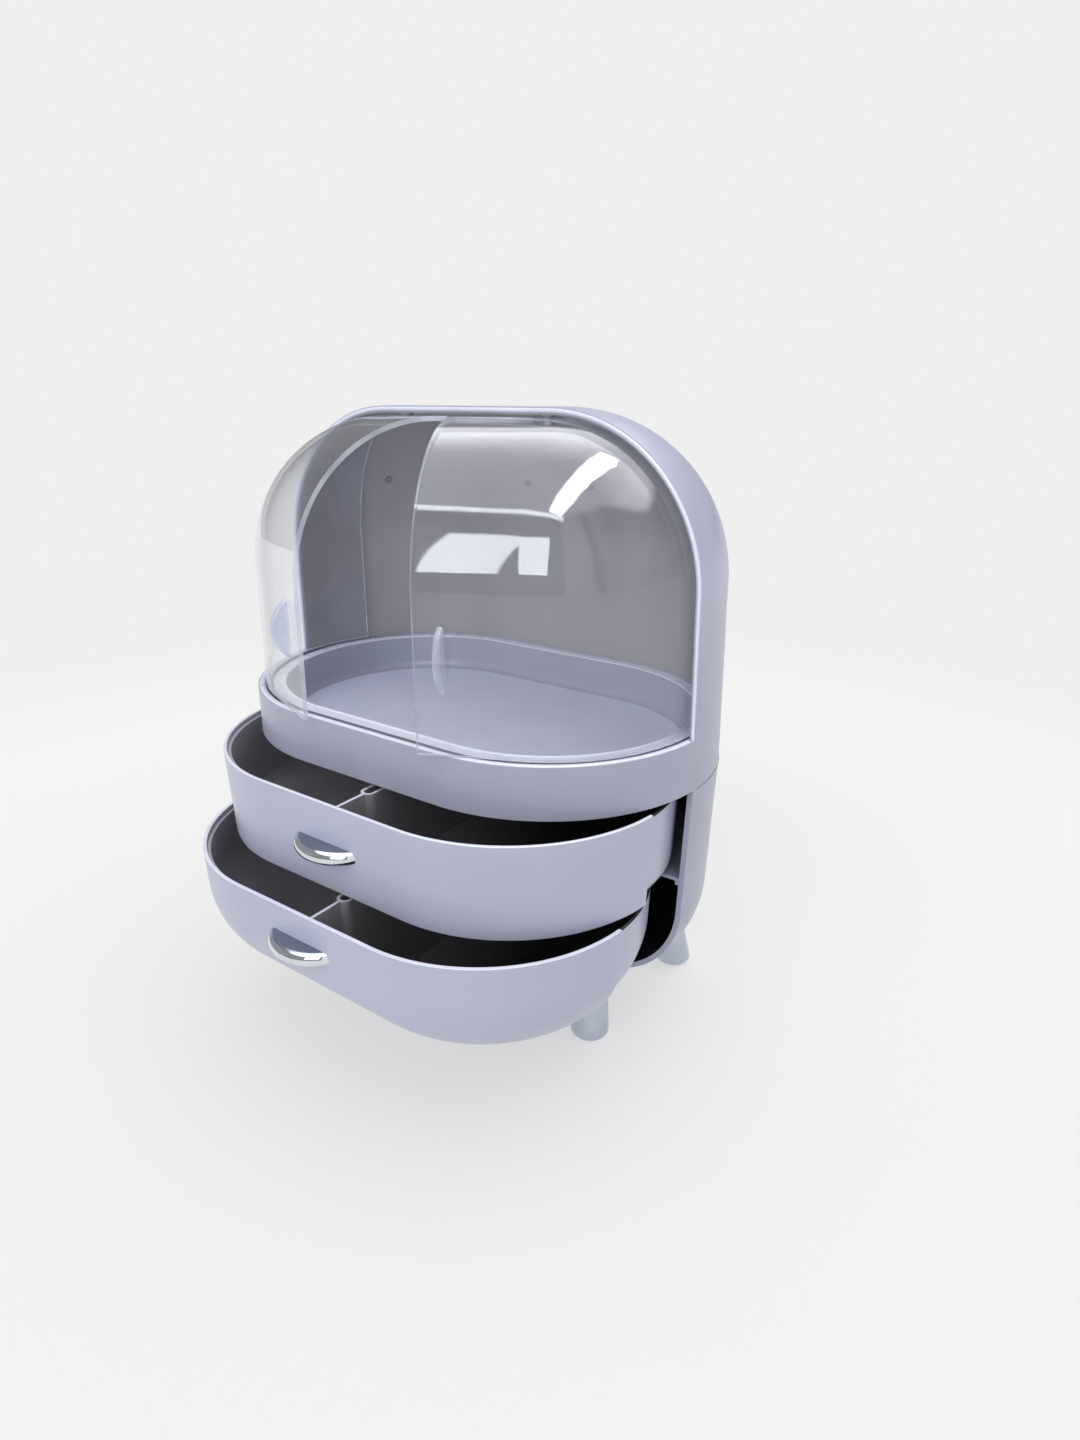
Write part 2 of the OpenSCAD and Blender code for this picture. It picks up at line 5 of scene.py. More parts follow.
import math
import bmesh
import bpy
from bpy.props import FloatProperty, FloatVectorProperty, IntProperty, PointerProperty
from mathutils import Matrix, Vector


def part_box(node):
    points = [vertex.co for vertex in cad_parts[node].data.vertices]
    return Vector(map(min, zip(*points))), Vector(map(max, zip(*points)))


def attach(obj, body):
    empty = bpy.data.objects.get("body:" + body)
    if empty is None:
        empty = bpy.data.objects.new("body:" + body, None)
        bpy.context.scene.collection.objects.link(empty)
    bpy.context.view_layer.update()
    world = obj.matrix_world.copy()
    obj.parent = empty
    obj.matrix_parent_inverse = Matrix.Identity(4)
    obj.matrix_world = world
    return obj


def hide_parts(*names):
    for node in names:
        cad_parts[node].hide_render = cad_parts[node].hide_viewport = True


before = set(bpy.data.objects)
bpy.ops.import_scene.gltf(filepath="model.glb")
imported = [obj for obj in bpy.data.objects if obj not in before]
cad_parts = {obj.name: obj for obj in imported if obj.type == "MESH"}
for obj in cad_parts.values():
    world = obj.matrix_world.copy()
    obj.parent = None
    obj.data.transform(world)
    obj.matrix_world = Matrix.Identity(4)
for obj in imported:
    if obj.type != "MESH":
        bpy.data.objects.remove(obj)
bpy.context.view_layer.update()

bl_info = {
    "name": "Makeup Organizer Dressing",
    "version": (1, 0, 0),
    "blender": (4, 5, 0),
    "location": "3D View > Sidebar > Organizer",
    "description": "Finishes and rounded pieces for a makeup organizer with doors and drawers",
    "category": "Object",
}


DRAWERS = ("top_drawer", "bottom_drawer")
LEAST_INNER_AREA = 0.002  # square metres; smaller curved regions of a hollow piece stay outside
LOW_PAINTED_SHADE_HEIGHTS = (0.19, 0.3)  # metres; the body's painted shade below the hood passes into its own colour between them
FAR_PAINTED_SHADE_PLACES = (-0.02, 0.09)  # metres to the right; painted shade darkens the drawers' insides between them
FOOT_BITE = 0.0005  # metres that a foot goes into the belly
FLOOR_DROP = 0.0002  # metres from the feet's soles down to the floor
OVAL_STEPS = 48


# ---- sizes and colours ----


def length(name, description, default):
    return FloatProperty(
        name=name, description=description, default=default, unit="LENGTH", precision=4
    )


def turn(name, description, default):
    return FloatProperty(
        name=name, description=description, default=math.radians(default), unit="ROTATION"
    )


def colour(name, description, default):
    return FloatVectorProperty(
        name=name, description=description, default=default, subtype="COLOR", min=0.0, max=1.0
    )


def factor(name, description, default):
    return FloatProperty(
        name=name, description=description, default=default, min=0.0, max=1.0, subtype="FACTOR"
    )


def number(name, description, default):
    return FloatProperty(name=name, description=description, default=default, min=0.0)


class BodySizes(bpy.types.PropertyGroup):
    """The outline that the drawer fronts, feet and trims follow."""

    flat_half: length("Straight half", "Half length of the plan's straight middle", 0.05)
    centre_y: length("End centres", "How far back the round ends' centres lie", 0.033)
    rim_y: length("Rim plane", "How far back the hood's front rim lies", 0.023)
    body_r: length("End radius", "Radius of the round ends at the seam", 0.1)
    seam_z: length("Seam height", "Height of the seam", 0.179)
    rim_z: length("Band height", "Height of the band's upper edge", 0.207)
    body_h: length("Height", "Height of the hood's top", 0.3675)
    belly_z: length("Belly height", "Height of the belly's underside", 0.048)
    roof_flat: length("Roof flat", "Radius of the roof's flat part at the ends", 0.0099)
    belly_flat: length("Belly flat", "Radius of the underside's flat part", 0.0415)
    hood_draft: turn("Hood lean", "Lean of the walls above the seam", 1.2)
    belly_draft: turn("Belly lean", "Lean of the walls below the seam", 1.9)


class FrontSizes(bpy.types.PropertyGroup):
    """The two drawer fronts."""

    inset: length("Inset", "Distance of a front from the body's outline", 0.0044)
    thickness: length("Thickness", "Wall of a front", 0.0022)
    edge: length("Edge radius", "Rounding of a front's edges", 0.0008)
    end_gap: length("End gap", "Space between a front's end and the rim plane", 0.0004)
    top_low: length("Top front, lower edge", "Height of its lower edge", 0.1255)
    top_high: length("Top front, upper edge", "Height of its upper edge", 0.178)
    bottom_high: length("Bottom front, upper edge", "Height of its upper edge", 0.1239)


class FootSizes(bpy.types.PropertyGroup):
    """The four cast feet."""

    floor_r: length("Floor radius", "Radius on the floor", 0.012)
    top_r: length("Top radius", "Radius where a foot meets the belly", 0.0075)
    edge: length("Edge radius", "Rounding of the lower edge", 0.004)
    top_z: length("Top height", "Height where the leaning cone ends", 0.074)
    front_x: length("Front feet", "Distance of the front feet from the middle", 0.093)
    rear_x: length("Rear feet", "Distance of the rear feet from the middle", 0.101)
    front_y: length("Front feet, forward", "Their distance before the rim plane", 0.005)
    rear_y: length("Rear feet, back", "Their distance behind the rim plane", 0.093)
    front_in: length("Front lean inwards", "How far a front foot leans in", 0.007)
    front_back: length("Front lean back", "How far a front foot leans back", 0.014)
    rear_in: length("Rear lean inwards", "How far a rear foot leans in", 0.005)
    rear_fore: length("Rear lean forward", "How far a rear foot leans forward", 0.014)
    sides: IntProperty(name="Sides", description="Facets round a foot", default=72, min=16)


class TrimSizes(bpy.types.PropertyGroup):
    """Beads along the edges and the seam line."""

    hood_bead: length("Hood bead", "Radius of the bead on the hood's rim", 0.0009)
    hood_wall: length("Hood wall", "Wall of the hood", 0.003)
    band_bead: length("Band bead", "Radius of the bead on the band's lip", 0.0008)
    band_wall: length("Band wall", "Wall of the band", 0.0045)
    lip_edge: length("Lip edge", "How much narrower than the wall the lip's bead is", 0.0006)
    lip_end: length("Lip end", "How far before the rim plane the lip's bead ends", 0.0015)
    seam_line: length("Seam line", "Half height of the seam line", 0.00025)
    tray_y: length("Tray centre", "How far back the tray's ends lie", 0.035)
    tray_wall_r: length("Tray wall radius", "Radius of the tray's inner wall", 0.0844)
    tray_top: length("Tray height", "Height of the tray's rim", 0.206)
    tray_bead: length("Tray bead", "Radius of the tray's edge bead", 0.0007)


class FinishColours(bpy.types.PropertyGroup):
    """Colours and gloss of the finishes."""

    shell: colour("Shell plastic", "Pale plastic of the body and drawers", (0.49, 0.51, 0.65))
    # painted highlight: a paler colour that stands in for light catching the plastic's edges and
    # top faces
    edge: colour("Shell edges", "Polished edges of the pale plastic", (0.82, 0.84, 0.97))
    tray: colour("Tray", "Pale plastic of the tray", (0.39, 0.41, 0.5))
    # painted light: the floor's paler colour stands in for light falling on it through the hood's
    # opening
    tray_floor: colour("Tray floor", "Wiped floor of the tray", (0.7, 0.725, 0.88))
    lining: colour("Hood lining", "Grey lining in the hood", (0.37, 0.36, 0.385))
    button: colour("Lining buttons", "Buttons that hold the lining", (0.25, 0.245, 0.265))
    # partly painted shade: darker than the shell, whose plastic the insides are, to stand in for
    # their shade
    inside: colour("Drawer inside", "Insides of the drawers", (0.42, 0.405, 0.45))
    # painted shade: near black that stands in for the deep shade inside the housing
    cavity_painted_shade: colour("Housing inside", "Inside of the housing", (0.012, 0.011, 0.016))
    clear: colour("Clear plastic", "Clear plastic of the doors", (0.95, 0.955, 0.965))
    # painted highlight: this bright colour stands in for the light that the clear plastic's cut
    # edges gather
    rim: colour("Clear edge", "Bright cut edges of the clear plastic", (0.8, 0.82, 0.92))
    chrome: colour("Chrome", "Plated pulls", (0.74, 0.76, 0.8))
    # painted reflection: a dark colour standing in for the dark surroundings that the pulls' flat
    # tops reflect
    pull_top_painted_reflection: colour("Pull top", "Flat tops of the pulls", (0.32, 0.355, 0.4))
    feet: colour("Feet", "Plated feet", (0.5, 0.54, 0.63))
    steel: colour("Steel", "Screws, pins and rails", (0.42, 0.42, 0.45))
    seam: colour("Seam", "Shadow in the seam", (0.16, 0.16, 0.2))
    backdrop: colour("Backdrop", "Pale floor and backdrop", (0.863, 0.863, 0.863))
    shell_rough: factor("Shell roughness", "Roughness of the pale plastic", 0.36)
    # painted shade: the body's plastic below the hood is darkened by this factor
    low_painted_shade: factor("Low tone", "Tone of the body's plastic below the hood", 0.84)
    # painted shade: the drawers' insides darken to this tone at their right end, where the band's
    # shadow falls
    far_painted_shade: factor("Far tone", "Tone of the drawers' insides at their right end", 0.1)
    haze: factor("Door haze", "Least share of the doors that reflects", 0.035)
    floor_glow: factor("Floor glow", "Share of the near floor that takes no shadow", 0.5)
    floor_lift: number("Floor lift", "How many times the backdrop's level that share has", 1.23)


class StudioSizes(bpy.types.PropertyGroup):
    """Camera and lamps."""

    camera: FloatVectorProperty(
        name="Camera", description="Where the camera stands", default=(0.3193, -0.3602, 0.3735),
        subtype="TRANSLATION", unit="LENGTH",
    )
    azimuth: turn("Azimuth", "Turn of the view about the upright axis", 34.93)
    pitch: turn("Pitch", "How far the camera looks down", 20.62)
    lens: number("Lens", "Focal length in millimetres", 21.65)
    ambient: number("Ambient", "Light from all round", 0.62)
    daylight: colour("Daylight", "Tint of the panels", (0.93, 0.965, 1.0))
    window: number("Window", "Radiance of the window's panes", 9.0)
    strip: number("Strip", "Radiance of the thin high panel", 12.0)
    beam: number("Beam", "Radiance of the long overhead panel", 18.0)
    ceiling: number("Ceiling", "Brightness of the ceiling", 2.2)
    room: number("Room", "Brightness of the room at eye height", 0.32)
    top: number("Top", "Strength of the soft top lamp", 1.0)
    front: number("Front", "Strength of the soft front lamp", 0.78)


def body_sizes():
    return bpy.context.scene.organizer_body


def colours():
    return bpy.context.scene.organizer_finish


# ---- nodes ----


def add_node(tree, kind, inputs=None, **settings):
    """Adds a node: its settings first, then the values or links of its inputs."""
    made = tree.nodes.new(kind)
    for key, value in settings.items():
        setattr(made, key, value)
    for key, value in (inputs or {}).items():
        source = value.socket if isinstance(value, Signal) else value
        if isinstance(source, bpy.types.NodeSocket):
            tree.links.new(source, made.inputs[key])
        else:
            made.inputs[key].default_value = source
    return made


class Signal:
    """A socket of a shader tree that takes part in sums and mixes like a number."""

    def __init__(self, tree, socket):
        self.tree, self.socket = tree, socket

    def node(self, kind, inputs=None, output=0, **settings):
        """Adds a node to the tree and returns one of its outputs."""
        made = add_node(self.tree, kind, inputs, **settings)
        return Signal(self.tree, made.outputs[output])

    def sum(self, operation, *values):
        return self.node("ShaderNodeMath", dict(enumerate(values)), operation=operation)

    def __add__(self, other):
        return self.sum("ADD", self, other)

    __radd__ = __add__

    def __sub__(self, other):
        return self.sum("SUBTRACT", self, other)

    def __rsub__(self, other):
        return self.sum("SUBTRACT", other, self)

    def __mul__(self, other):
        return self.sum("MULTIPLY", self, other)

    __rmul__ = __mul__

    def __pow__(self, other):
        return self.sum("POWER", self, other)

    def __rpow__(self, other):
        return self.sum("POWER", other, self)

    def __neg__(self):
        return self * -1.0

    def least(self, other):
        return self.sum("MINIMUM", self, other)

    def most(self, other):
        return self.sum("MAXIMUM", self, other)

    def ramp(self, low, high, to_low=0.0, to_high=1.0):
        """Smooth change from one value to another while the number goes from low to high."""
        inputs = {0: self, 1: low, 2: high, 3: to_low, 4: to_high}
        return self.node("ShaderNodeMapRange", inputs, interpolation_type="SMOOTHSTEP")

    def blend(self, first, second):
        """A colour that is first where the number is 0 and second where it is 1."""
        return self.node("ShaderNodeMix", {0: self, 6: first, 7: second}, 2, data_type="RGBA")

    def part(self, axis):
        """One part of a vector: 0 to the right, 1 to the back, 2 up."""
        return self.node("ShaderNodeSeparateXYZ", {0: self}, axis)


def rgba(rgb, times=1.0):
    return (*(min(1.0, c * times) for c in rgb), 1.0)


class Finish:
    """A new material with one principled shader and the object's own coordinates."""

    def __init__(self, name):
        self.material = bpy.data.materials.new(name)
        self.material.use_nodes = True
        self.tree = self.material.node_tree
        self.tree.nodes.clear()
        self.surface = add_node(self.tree, "ShaderNodeOutputMaterial")
        self.shader = add_node(self.tree, "ShaderNodeBsdfPrincipled")
        coords = add_node(self.tree, "ShaderNodeTexCoord").outputs["Object"]
        self.coords = Signal(self.tree, coords)
        self.show(Signal(self.tree, self.shader.outputs[0]))

    def show(self, shader):
        self.tree.links.new(shader.socket, self.surface.inputs["Surface"])

    def put(self, **values):
        """Sets the shader's sockets, named with _ for a space."""
        for key, value in values.items():
            socket = self.shader.inputs[key.replace("_", " ")]
            if isinstance(value, Signal):
                self.tree.links.new(value.socket, socket)
            else:
                socket.default_value = value

    def noise(self, scale, detail=2.0, stretch=None):
        """Cloud noise of a scale in features to the metre."""
        vector = self.coords
        if stretch:
            vector = vector.node("ShaderNodeMapping", {"Vector": vector, "Scale": stretch})
        inputs = {"Vector": vector, "Scale": scale, "Detail": detail, "Roughness": 0.55}
        return vector.node("ShaderNodeTexNoise", inputs)

    def bump(self, height, strength, distance):
        inputs = {"Strength": strength, "Distance": distance, "Height": height}
        self.put(Normal=height.node("ShaderNodeBump", inputs))

    def see_through(self, tint, blend, share_at):
        """Mixes in the view through the surface; share_at gives the solid share from facing."""
        through = self.coords.node("ShaderNodeBsdfTransparent", {"Color": tint})
        facing = self.coords.node("ShaderNodeLayerWeight", {"Blend": blend}, 1)
        both = {0: share_at(facing).least(1.0), 1: through, 2: self.shader.outputs[0]}
        self.show(self.coords.node("ShaderNodeMixShader", both))


def tones_of(cloud, rgb, dark, pale):
    """A colour that drifts between a darker and a paler tone with a cloud noise."""
    return cloud.ramp(0.3, 0.7).blend(rgba(rgb, dark), rgba(rgb, pale))


def moulded_plastic(name, rgb, rough, tone=0.03, coat=0.25, low_painted_shade=1.0):
    """Satin moulded plastic: faint clouds of tone, fine grain, handling marks in its gloss, and,
    where asked, painted shade low on the body.
    """
    made = Finish(name)
    cloud = made.noise(9.0, 3.0)
    flow = made.noise(30.0, 2.0, (1.0, 1.0, 0.25))
    grain = made.noise(2600.0, 1.0)
    marks = made.noise(70.0, 4.0)
    shade = cloud * 0.7 + flow * 0.3
    base = tones_of(shade, rgb, 1.0 - tone, 1.0 + tone)
    # painted shade: darker below the hood
    if low_painted_shade < 1.0:
        low = tones_of(shade, rgb, low_painted_shade * (1.0 - tone), low_painted_shade * (1.0 + tone))
        base = made.coords.part(2).ramp(*LOW_PAINTED_SHADE_HEIGHTS).blend(low, base)
    made.put(
        Base_Color=base,
        Roughness=rough + 0.05 * (marks.ramp(0.35, 0.7) - 0.5) + 0.03 * grain,
        Coat_Weight=coat * marks.ramp(0.2, 0.75, 1.0, 0.7),
        Coat_Roughness=0.16,
        IOR=1.5,
    )
    made.bump(grain * 0.6 + flow * 0.4, 0.05, 0.0002)
    return made.material


def lining_plastic(name, rgb):
    """Dark, glossier film with long soft ripples."""
    made = Finish(name)
    ripple = made.noise(13.0, 3.0, (1.0, 1.0, 0.35))
    streaks = made.noise(42.0, 3.0, (1.0, 1.0, 0.12))
    grain = made.noise(2200.0, 1.0)
    made.put(
        Base_Color=tones_of(ripple, rgb, 0.93, 1.08),
        Roughness=0.34 + 0.1 * streaks.ramp(0.35, 0.65) + 0.02 * grain,
        Coat_Weight=0.35 * ripple.ramp(0.25, 0.7, 0.7, 1.0),
        Coat_Roughness=0.12,
    )
    made.bump(ripple * 0.8 + streaks * 0.2, 0.12, 0.002)
    return made.material


def drawer_inside(name, rgb, far_painted_shade=1.0):
    """Unpolished inside of a drawer, rougher, and darker as painted shade, with painted shade at
    the far right where asked.
    """
    made = Finish(name)
    cloud = made.noise(14.0, 3.0)
    grain = made.noise(1800.0, 2.0)
    scuffs = made.noise(160.0, 5.0, (1.0, 0.2, 1.0))
    base = tones_of(cloud, rgb, 0.88, 1.12)
    # painted shade: darker towards the right end
    if far_painted_shade < 1.0:
        far = (made.coords.part(0) + 0.03 * cloud).ramp(*FAR_PAINTED_SHADE_PLACES)
        base = far.blend(base, rgba(rgb, far_painted_shade))
    made.put(
        Base_Color=base,
        Roughness=0.46 + 0.1 * scuffs.ramp(0.45, 0.7) + 0.04 * grain,
    )
    made.bump(grain * 0.7 + scuffs * 0.3, 0.12, 0.0003)
    return made.material


def clear_sheet(name, rgb, least, most=0.9, rough=0.03):
    """Thin clear plastic: the view through it, and more reflection the more it turns away."""
    made = Finish(name)
    smear = made.noise(16.0, 3.0, (1.0, 1.0, 0.5))
    dust = made.noise(900.0, 2.0)
    made.put(
        Base_Color=tones_of(smear, rgb, 0.98, 1.03),
        Metallic=1.0,
        Roughness=rough + 0.05 * smear.ramp(0.45, 0.75),
    )
    veil = least * (0.8 + 0.4 * smear) + 0.006 * dust.ramp(0.6, 0.75)
    made.see_through(rgba(rgb, 1.035), 0.5, lambda facing: veil + facing**4.5 * (most - least))
    made.bump(made.noise(11.0, 2.0, (1.0, 1.0, 3.0)), 0.05, 0.004)
    return made.material


def clear_edge_highlight(name, rgb, share=0.55):
    """Cut edge of clear plastic, with the light that it gathers painted in as a bright colour."""
    made = Finish(name)
    cloud = made.noise(60.0, 3.0)
    made.put(
        Base_Color=tones_of(cloud, rgb, 0.92, 1.1), Roughness=0.18 + 0.1 * cloud, Coat_Weight=0.5
    )
    veil = share * (0.75 + 0.5 * cloud)
    made.see_through(rgba(rgb, 1.1), 0.4, lambda facing: veil + facing * 0.2)
    return made.material


def plated_metal(name, rgb, rough):
    """Polished plating with a faint orange peel and wiped smears."""
    made = Finish(name)
    peel = made.noise(420.0, 1.0)
    smear = made.noise(55.0, 4.0, (1.0, 1.0, 0.4))
    made.put(
        Base_Color=tones_of(smear, rgb, 0.95, 1.05),
        Metallic=1.0,
        Roughness=rough + 0.06 * smear.ramp(0.5, 0.75),
    )
    made.bump(peel, 0.05, 0.0003)
    return made.material


def turned_steel(name, rgb):
    """Machined steel with fine lines across the upright axis."""
    made = Finish(name)
    lines = made.noise(90.0, 3.0, (1.0, 1.0, 40.0))
    cloud = made.noise(120.0, 3.0)
    made.put(
        Base_Color=tones_of(cloud, rgb, 0.9, 1.1), Metallic=1.0, Roughness=0.3 + 0.15 * lines
    )
    made.bump(lines, 0.15, 0.0002)
    return made.material


def finish(name):
    """One of the organizer's finishes, made when it is first asked for."""
    found = bpy.data.materials.get(name)
    if found:
        return found
    tones = colours()
    rough = tones.shell_rough
    makers = {
        "shell_satin": lambda: moulded_plastic(name, tones.shell, rough),
        "body_satin": lambda: moulded_plastic(name, tones.shell, rough, low_painted_shade=tones.low_painted_shade),
        # painted highlight on edges and top faces
        "shell_edge": lambda: moulded_plastic(name, tones.edge, rough - 0.08),
        "tray_satin": lambda: moulded_plastic(name, tones.tray, rough + 0.06, 0.04, 0.15),
        "tray_floor": lambda: moulded_plastic(name, tones.tray_floor, rough + 0.1, 0.05, 0.15),
        "hood_lining": lambda: lining_plastic(name, tones.lining),
        "drawer_inside": lambda: drawer_inside(name, tones.inside, tones.far_painted_shade),
        "door_clear": lambda: clear_sheet(name, tones.clear, tones.haze),
        "door_edge": lambda: clear_edge_highlight(name, tones.rim),
        "handle_clear": lambda: clear_sheet(name, tones.clear, 0.07, 1.0, 0.05),
        "handle_edge": lambda: clear_edge_highlight(name, tones.rim, 0.4),
        "pull_chrome": lambda: plated_metal(name, tones.chrome, 0.05),
        "pull_flat": lambda: plated_metal(name, tones.pull_top_painted_reflection, 0.16),
        "foot_chrome": lambda: plated_metal(name, tones.feet, 0.04),
        "button_grey": lambda: lining_plastic(name, tones.button),
        "housing_inside": lambda: drawer_inside(name, tones.cavity_painted_shade),
        "pin_steel": lambda: turned_steel(name, tones.steel),
        "seam_shadow": lambda: drawer_inside(name, tones.seam),
    }
    if name not in makers:
        raise RuntimeError(f"there is no finish named {name}")
    return makers[name]()


def coat_node(node, name):
    """Puts a finish on a CAD node's material slots."""
    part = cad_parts[node]
    if not part.material_slots:
        raise RuntimeError(f"{node} has no material slot")
    for material_slot in part.material_slots:
        material_slot.material = finish(name)


# ---- meshes ----


def add_object(name, work):
    """Turns a bmesh into an object in the scene."""
    mesh = bpy.data.meshes.new(name)
    work.to_mesh(mesh)
    work.free()
    made = bpy.data.objects.new(name, mesh)
    bpy.context.scene.collection.objects.link(made)
    return made


def add_piece(name, work, materials, body, node):
    """Turns a bmesh into a piece that rides on a body and stands for a CAD node."""
    piece = add_object(name, work)
    for material in materials:
        piece.data.materials.append(finish(material))
    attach(piece, body)
    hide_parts(node)
    return piece


def settle(piece):
    """Turns what a piece's modifiers make into its plain mesh."""
    bpy.context.view_layer.update()
    made = bpy.data.meshes.new_from_object(
        piece.evaluated_get(bpy.context.evaluated_depsgraph_get())
    )
    piece.modifiers.clear()
    piece.data = made
    if not made.polygons:
        raise RuntimeError(f"{piece.name} came out empty")
    return made


def smooth(work, limit=35.0):
    """Smooths the faces and keeps the edges that turn further than the limit sharp."""
    for face in work.faces:
        face.smooth = True
    for edge in work.edges:
        turned = edge.calc_face_angle(math.pi) if len(edge.link_faces) == 2 else math.pi
        edge.smooth = turned < math.radians(limit)


def copy_of_node(node):
    """A merged copy of a CAD node's mesh."""
    work = bmesh.new()
    work.from_mesh(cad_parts[node].data)
    bmesh.ops.remove_doubles(work, verts=work.verts, dist=2e-6)
    smooth(work)
    return work


def faces_by_region(work):
    """Groups of faces that meet without a sharp edge between them."""
    left, regions = set(work.faces), []
    while left:
        region, rim = [], [left.pop()]
        while rim:
            face = rim.pop()
            region.append(face)
            for edge in face.edges:
                for other in edge.link_faces if edge.smooth else ():
                    if other in left:
                        left.remove(other)
                        rim.append(other)
        regions.append(region)
    return regions


def oval_point(radius, z, turned, side, sizes):
    """A point of the plan: turned is the angle from straight ahead, towards the side."""
    x = side * (sizes.flat_half + radius * math.sin(turned))
    return Vector((x, sizes.centre_y - radius * math.cos(turned), z))


def arc_radius(overhang, height, draft):
    """Radius of the arc that turns a leaning wall of some height and overhang into a flat."""
    return (overhang * math.cos(draft) - height * math.sin(draft)) / (1 - math.sin(draft))


def belly_arc(sizes):
    """Radius of the arc under the body, and the height of its centre."""
    height = sizes.seam_z - sizes.belly_z
    r = arc_radius(sizes.body_r - sizes.belly_flat, height, sizes.belly_draft)
    return r, sizes.belly_z + r


def roof_arc(sizes):
    """Radius of the arc over the hood, and the height of its centre."""
    height = sizes.body_h - sizes.seam_z
    r = arc_radius(sizes.body_r - sizes.roof_flat, height, sizes.hood_draft)
    return r, sizes.body_h - r


def belly_outline(inset, low_r, high_z, sizes, steps=36):
    """(radius, height) points of the outline below the seam, from a radius up to a height."""
    draft, arc_x = sizes.belly_draft, sizes.belly_flat
    r, arc_z = belly_arc(sizes)
    bend = r - inset
    points = [(low_r + (arc_x - low_r) * i / 6, arc_z - bend) for i in range(6)]
    for i in range(steps + 1):
        a = math.radians(-90) + (math.radians(90) - draft) * i / steps
        points.append((arc_x + bend * math.cos(a), arc_z + bend * math.sin(a)))
    low = points[-1]
    for i in range(1, 5):
        z = low[1] + (high_z - low[1]) * i / 4
        points.append((low[0] + (z - low[1]) * math.tan(draft), z))
    return points


def wall_outline(inset, low_z, high_z, sizes, steps=6):
    """(radius, height) points of the leaning wall below the seam between two heights."""
    draft = sizes.belly_draft

    def radius(z):
        return sizes.body_r - (sizes.seam_z - z) * math.tan(draft) - inset / math.cos(draft)

    heights = [low_z + (high_z - low_z) * i / steps for i in range(steps + 1)]
    return [(radius(z), z) for z in heights]


def front_sheet(points, cut_y, sizes, around=40, along=10):
    """Sheet that follows an outline round the front half of the plan, up to a plane across it."""
    work = bmesh.new()
    rows = []
    for radius, z in points:
        reach = math.acos(min(1.0, max(-1.0, (sizes.centre_y - cut_y) / radius)))
        turns = [reach * (1 - i / around) for i in range(around + 1)]
        row = [oval_point(radius, z, a, 1, sizes) for a in turns]
        half = sizes.flat_half
        flat = [half * (1 - 2 * i / along) for i in range(1, along)]
        row += [Vector((x, sizes.centre_y - radius, z)) for x in flat]
        row += [oval_point(radius, z, a, -1, sizes) for a in reversed(turns)]
        rows.append([work.verts.new(p) for p in row])
    for low, high in zip(rows, rows[1:]):
        for i in range(len(low) - 1):
            work.faces.new((low[i], high[i], high[i + 1], low[i + 1]))
    bmesh.ops.remove_doubles(work, verts=work.verts, dist=1e-6)
    return work


def finish_shell(piece, thickness, edge):
    """Gives a sheet its wall, inwards, and rounds its edges."""
    wall = piece.modifiers.new("wall", "SOLIDIFY")
    wall.thickness = thickness
    wall.offset = -1.0
    wall.use_even_offset = True
    rounding = piece.modifiers.new("rounded edge", "BEVEL")
    rounding.width = edge
    rounding.segments = 3
    rounding.limit_method = "ANGLE"
    rounding.angle_limit = math.radians(50)
    for face in settle(piece).polygons:
        face.use_smooth = True


def mark_hollow(work, low, high, with_rim):
    """Gives a hollow piece's inner faces, and its rim where asked, the second finish."""
    middle = (low + high) / 2
    for region in faces_by_region(work):
        inward = area = upward = 0.0
        for face in region:
            size = face.calc_area()
            area += size
            upward += size * face.normal.z
            out = face.calc_center_median() - middle
            inward += size if face.normal.dot(out) < 0 else -size
        inner = inward > 0 and area > LEAST_INNER_AREA
        rim = with_rim and upward > 0.95 * area
        for face in region:
            face.material_index = 1 if inner or rim else 0


def mark_upward(work, low, high, low_finish):
    """Faces that look up: high ones take the second finish, lower ones the given one; these
    finishes paint how light falls on top faces.
    """
    level = high.z - 0.3 * (high.z - low.z)
    for face in work.faces:
        if face.normal.z > 0.95:
            face.material_index = 1 if face.calc_center_median().z > level else low_finish


def add_lined(node, body, finishes, mark, option):
    """A copy of a CAD node whose faces take the finishes that a marking function gives them."""
    work = copy_of_node(node)
    mark(work, *(Vector(corner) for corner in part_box(node)), option)
    add_piece(f"{node}_lined", work, finishes, body, node)


# ---- geometry nodes ----


class Shaper:
    """Geometry Nodes tree with named inputs that makes a shape and coats it."""

    def __init__(self, name, sizes):
        self.tree = bpy.data.node_groups.new(name, "GeometryNodeTree")
        kinds = {"Geometry": "Geometry", **dict.fromkeys(sizes, "Float"), "Finish": "Material"}
        self.keys = {
            key: self.tree.interface.new_socket(
                key, in_out="INPUT", socket_type=f"NodeSocket{kind}"
            ).identifier
            for key, kind in kinds.items()
        }
        self.tree.interface.new_socket(
            "Geometry", in_out="OUTPUT", socket_type="NodeSocketGeometry"
        )
        self.given = self.add("NodeGroupInput")

    def add(self, kind, inputs=None):
        return add_node(self.tree, kind, inputs).outputs

    def make(self, shape, piece, values, material):
        """Ends the tree with a shape, and gives a piece the mesh that it makes."""
        real = self.add("GeometryNodeRealizeInstances", {0: shape})[0]
        coat = {"Geometry": real, "Material": self.given["Finish"]}
        self.add("NodeGroupOutput", {0: self.add("GeometryNodeSetMaterial", coat)[0]})
        run = piece.modifiers.new("shape", "NODES")
        run.node_group = self.tree
        for key, value in values.items():
            run[self.keys[key]] = value
        run[self.keys["Finish"]] = finish(material)
        return settle(piece)


def mesh_path(points, closed=False):
    """An open or closed path, as a mesh of edges."""
    work = bmesh.new()
    verts = [work.verts.new(p) for p in points]
    for a, b in zip(verts, verts[1:] + verts[:1] if closed else verts[1:]):
        work.edges.new((a, b))
    return work


